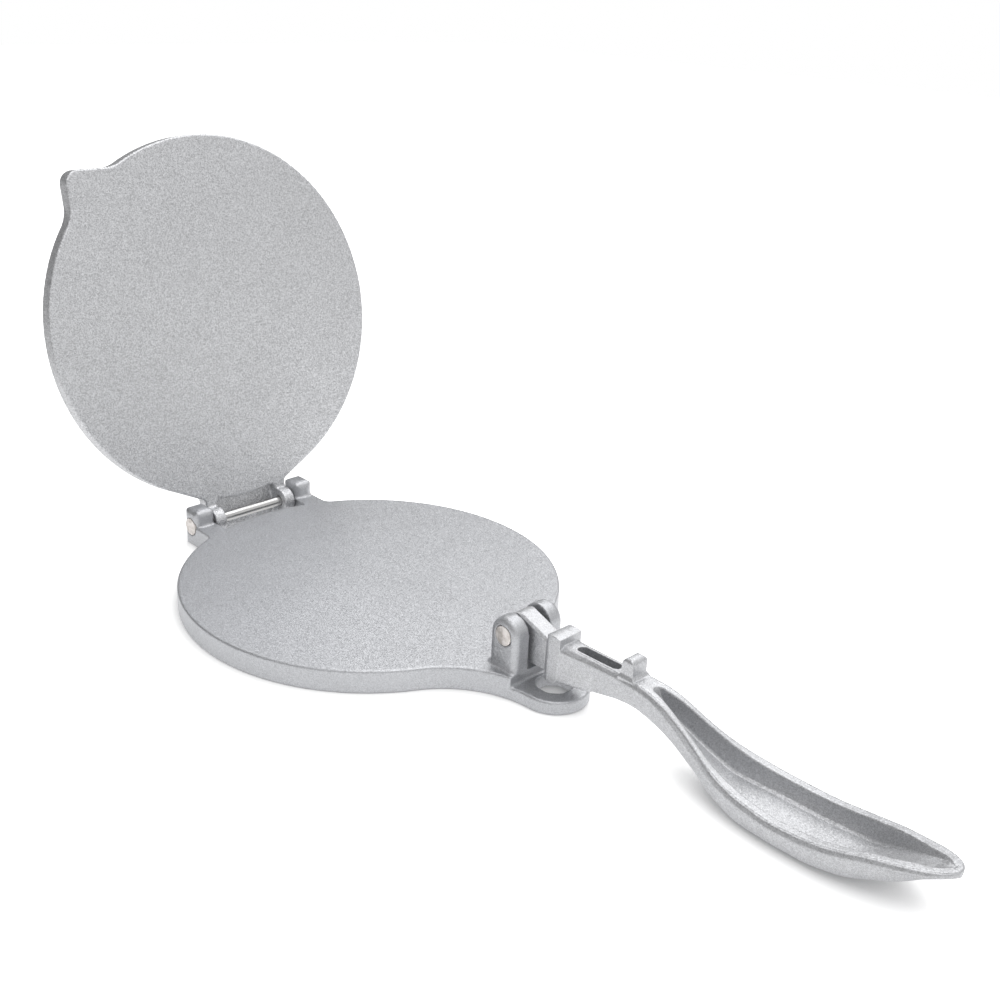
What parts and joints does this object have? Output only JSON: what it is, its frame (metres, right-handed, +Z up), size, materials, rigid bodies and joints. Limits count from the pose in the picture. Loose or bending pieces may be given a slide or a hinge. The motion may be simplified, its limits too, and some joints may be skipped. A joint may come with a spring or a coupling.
{
  "type": "tortilla press",
  "caption": "Cast-aluminium tortilla press: round base and hinged round lid with a thumb tab, and a pressing lever with a hollow spoon-shaped grip on a front clevis.",
  "frame": {"origin": "middle of the base plate's underside, on the table", "axes": "+Z up from the table, +X from the rear hinge to the lever's clevis, +Y to the side away from the thumb tab"},
  "size_m": [0.4067, 0.1668, 0.1807],
  "materials": {
    "cast_aluminium": "sparkle-coated cast, fine grain",
    "cast_aluminium_lever": "sparkle-coated cast, fine grain",
    "pin_steel": "turned and polished"
  },
  "bodies": {
    "base": {"base": "cast_aluminium", "hinge_pin": "pin_steel", "handle_pin": "pin_steel"},
    "lid": {"lid": "cast_aluminium"},
    "handle": {"handle": "cast_aluminium_lever"}
  },
  "joints": [
    {"name": "lid_hinge", "type": "hinge", "parent": "base", "child": "lid", "pos_m": [-0.09195, 0, 0.00883], "axis": [0, 1, 0], "range_deg": [0, 100.9]},
    {"name": "handle_pivot", "type": "hinge", "parent": "base", "child": "handle", "pos_m": [0.0939, 0, 0.0239], "axis": [0, -1, 0], "range_deg": [0, 176.4]}
  ]
}
